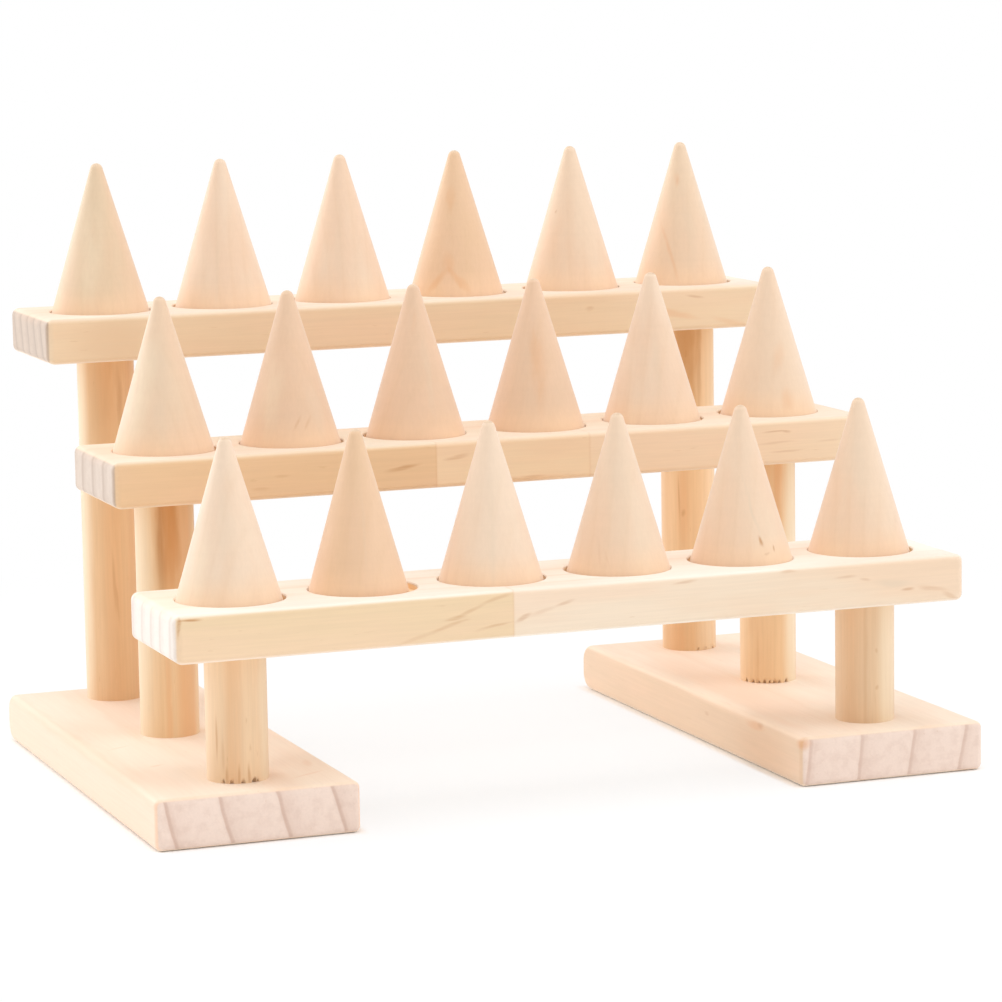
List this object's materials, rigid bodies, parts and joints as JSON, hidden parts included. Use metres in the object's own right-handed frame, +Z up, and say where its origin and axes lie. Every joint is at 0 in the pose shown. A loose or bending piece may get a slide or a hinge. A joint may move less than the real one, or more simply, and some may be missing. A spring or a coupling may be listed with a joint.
{
  "type": "ring display stand",
  "caption": "Three-tier wooden stand: stepped shelf bars on dowel posts and two foot boards, each bar carrying a row of turned cones that hold finger rings.",
  "frame": {"origin": "on the table, under the middle of the stand: the bottom centre of its box", "axes": "+X along the shelf bars to the right as seen from the front, front towards -Y, +Z up"},
  "size_m": [0.261, 0.181, 0.1854],
  "materials": {
    "foot_board": "planed and sanded pine, unfinished",
    "dowel": "milled pine dowel, sawn ends, unfinished",
    "shelf_bar": "planed and sanded pine, unfinished",
    "turned_cone": "turned and sanded fine-grained wood, unfinished",
    "screw_steel": "zinc-plated steel"
  },
  "bodies": {
    "root": {"left_foot": "foot_board", "right_foot": "foot_board", "front_left_post": "dowel", "front_right_post": "dowel", "middle_left_post": "dowel", "middle_right_post": "dowel", "back_left_post": "dowel", "back_right_post": "dowel", "front_shelf": "shelf_bar", "middle_shelf": "shelf_bar", "back_shelf": "shelf_bar", "front_cone_1": "turned_cone", "front_cone_2": "turned_cone", "front_cone_3": "turned_cone", "front_cone_4": "turned_cone", "front_cone_5": "turned_cone", "front_cone_6": "turned_cone", "middle_cone_1": "turned_cone", "middle_cone_2": "turned_cone", "middle_cone_3": "turned_cone", "middle_cone_4": "turned_cone", "middle_cone_5": "turned_cone", "middle_cone_6": "turned_cone", "back_cone_1": "turned_cone", "back_cone_2": "turned_cone", "back_cone_3": "turned_cone", "back_cone_4": "turned_cone", "back_cone_5": "turned_cone", "back_cone_6": "turned_cone", "foot_screws": "screw_steel", "shelf_screws": "screw_steel"}
  },
  "joints": []
}
